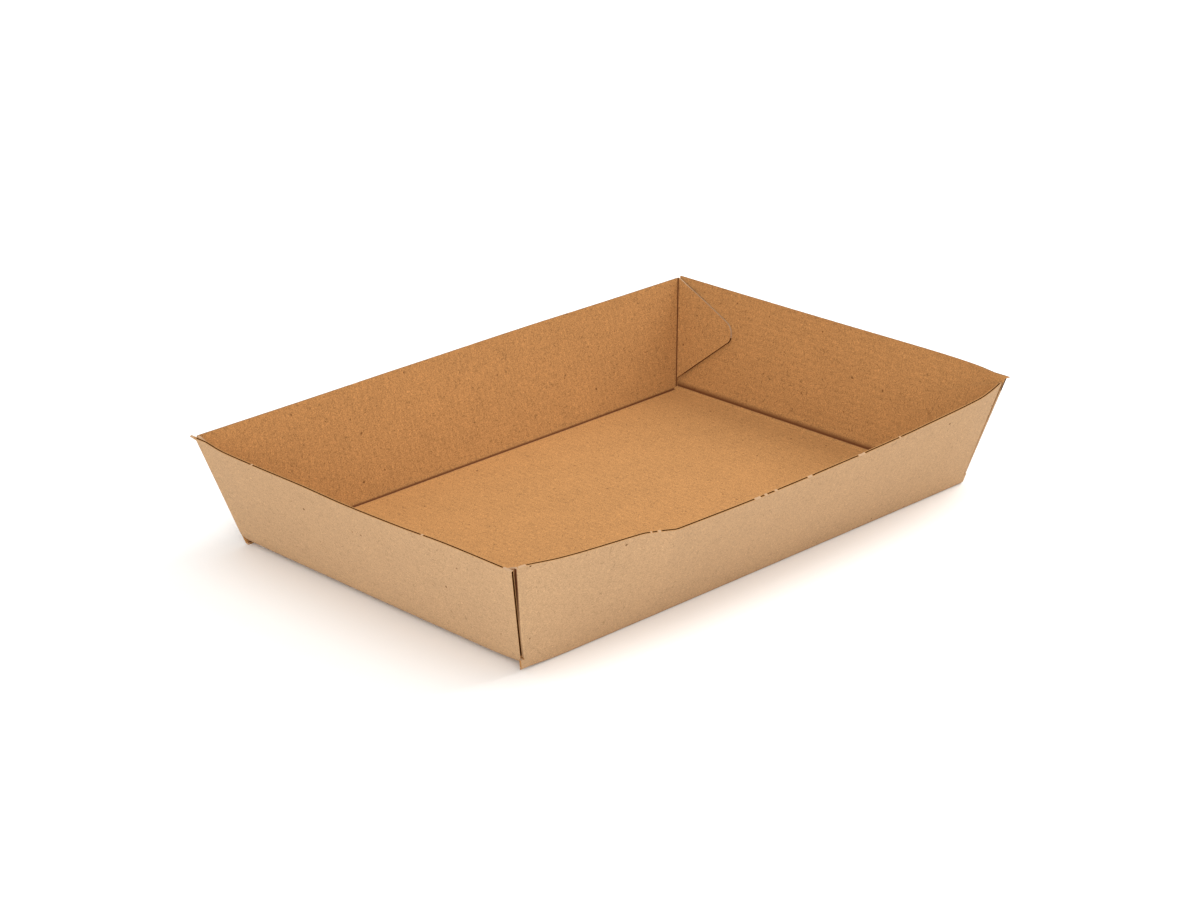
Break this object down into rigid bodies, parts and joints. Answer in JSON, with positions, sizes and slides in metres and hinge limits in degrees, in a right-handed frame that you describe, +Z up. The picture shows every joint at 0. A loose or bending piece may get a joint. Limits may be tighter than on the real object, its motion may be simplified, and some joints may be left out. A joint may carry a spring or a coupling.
{
  "type": "cardboard tray box",
  "caption": "Shallow open tray of thin kraft board with flared walls, folded from a flat blank and glued by a tab at each corner; its front wall is bowed outwards.",
  "frame": {"origin": "centre of the base's underside, on the surface that the tray stands on", "axes": "+Z up; +X along the base's longer side; -Y towards the bowed and buckled long wall, which faces the viewer in the picture's lower right"},
  "size_m": [0.2175, 0.1597, 0.0388],
  "materials": {
    "tray": "matte unbleached kraft liner"
  },
  "bodies": {
    "root": {"tray": "tray"}
  },
  "joints": []
}
